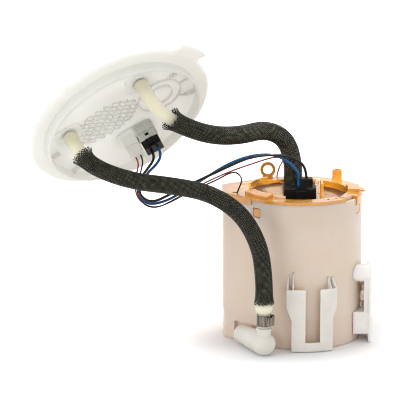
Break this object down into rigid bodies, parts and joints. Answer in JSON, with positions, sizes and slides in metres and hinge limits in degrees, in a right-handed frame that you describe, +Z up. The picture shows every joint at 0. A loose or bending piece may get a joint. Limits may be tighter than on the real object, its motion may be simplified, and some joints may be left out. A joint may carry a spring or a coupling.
{
  "type": "fuel pump module",
  "caption": "In-tank fuel pump module: swirl pot with electric pump, orange cover, level sender with float, tank flange, braided hoses and lead wires.",
  "frame": {"origin": "centre of the round pot's underside, on the tank floor that it stands on", "axes": "+Z up along the pump's axis; -Y towards the side that carries the guide bracket; the tank flange lies on the -X side at the end of the hoses"},
  "size_m": [0.2891, 0.1512, 0.2558],
  "materials": {
    "pot_plastic": "matt, slightly translucent moulding",
    "cover_plastic": "satin moulding",
    "bracket_plastic": "satin moulding",
    "sender_plastic": "satin moulding",
    "card_ceramic": "matt",
    "hub_plastic": "satin moulding",
    "arm_steel": "drawn wire",
    "float_foam": "closed-cell foam skin",
    "elbow_plastic": "satin moulding",
    "nozzle_brass": "turned",
    "clamp_steel": "rolled strip",
    "flange_plastic": "satin, slightly translucent moulding",
    "nylon": "natural satin moulding",
    "socket_plastic": "matt moulding",
    "terminal_tin": "tinned",
    "black_plug_plastic": "matt moulding",
    "white_plug_plastic": "satin moulding",
    "hose_nylon": "smooth extrusion",
    "braid": "open braid",
    "blue_insulation": "satin",
    "black_insulation": "satin",
    "red_insulation": "satin",
    "pump_steel": "drawn tube",
    "ferrite": "sintered",
    "pump_plastic": "satin moulding",
    "shaft_steel": "ground",
    "lamination_steel": "stacked stampings",
    "copper": "enamelled winding",
    "carbon": "matt",
    "spring_steel": "drawn wire",
    "valve_brass": "turned",
    "cradle_plastic": "natural satin moulding",
    "black_rubber": "matt",
    "mesh_nylon": "woven"
  },
  "bodies": {
    "module": {"swirl_pot": "pot_plastic", "top_cover": "cover_plastic", "front_guide_bracket": "bracket_plastic", "sender_holder": "sender_plastic", "sender_card": "card_ceramic", "jet_pump_elbow": "elbow_plastic", "jet_nozzle": "nozzle_brass", "hose_clamp": "clamp_steel", "flange_disc": "flange_plastic", "supply_nipple": "nylon", "return_nipple": "nylon", "flange_socket": "socket_plastic", "socket_pins": "terminal_tin", "pump_lead_plug": "black_plug_plastic", "sender_lead_plug": "white_plug_plastic", "return_tube": "hose_nylon", "supply_tube": "hose_nylon", "return_sleeve": "braid", "supply_sleeve": "braid", "blue_lead": "blue_insulation", "black_lead": "black_insulation", "red_sender_lead": "red_insulation", "black_sender_lead": "black_insulation", "pump_casing": "pump_steel", "pump_magnets": "ferrite", "pump_base": "pump_plastic", "pump_guide": "pump_plastic", "carbon_brushes": "carbon", "brush_springs": "spring_steel", "pump_end_cap": "pump_plastic", "outlet_valve_spring": "spring_steel", "pump_plug": "black_plug_plastic", "pump_plug_latch": "black_plug_plastic", "pump_cradle": "cradle_plastic", "pump_rubber": "black_rubber", "strainer": "mesh_nylon"},
    "pump_rotor": {"rotor_shaft": "shaft_steel", "impeller": "pump_plastic", "armature": "lamination_steel", "armature_windings": "copper", "commutator": "copper"},
    "float_arm_body": {"sender_wiper": "hub_plastic", "float_arm": "arm_steel", "sender_float": "float_foam"},
    "outlet_valve_body": {"outlet_valve": "valve_brass"},
    "foot_valve_body": {"foot_valve": "black_rubber"}
  },
  "joints": [
    {"name": "rotor_spin", "type": "hinge", "parent": "module", "child": "pump_rotor", "pos_m": [0, 0, 0.058], "axis": [0, 0, 1], "continuous": true},
    {"name": "float_swing", "type": "hinge", "parent": "module", "child": "float_arm_body", "pos_m": [0.055, -0.014, 0.046], "axis": [1, 0, 0], "range_deg": [0, 62]},
    {"name": "outlet_valve_lift", "type": "slide", "parent": "module", "child": "outlet_valve_body", "axis": [0, 0, 1], "range_m": [0, 0.0015], "stiffness_N_per_m": 60, "springref_m": -0.003, "deforming": ["outlet_valve_spring"]},
    {"name": "foot_valve_lift", "type": "slide", "parent": "module", "child": "foot_valve_body", "axis": [0, 0, 1], "range_m": [0, 0.0012]}
  ]
}
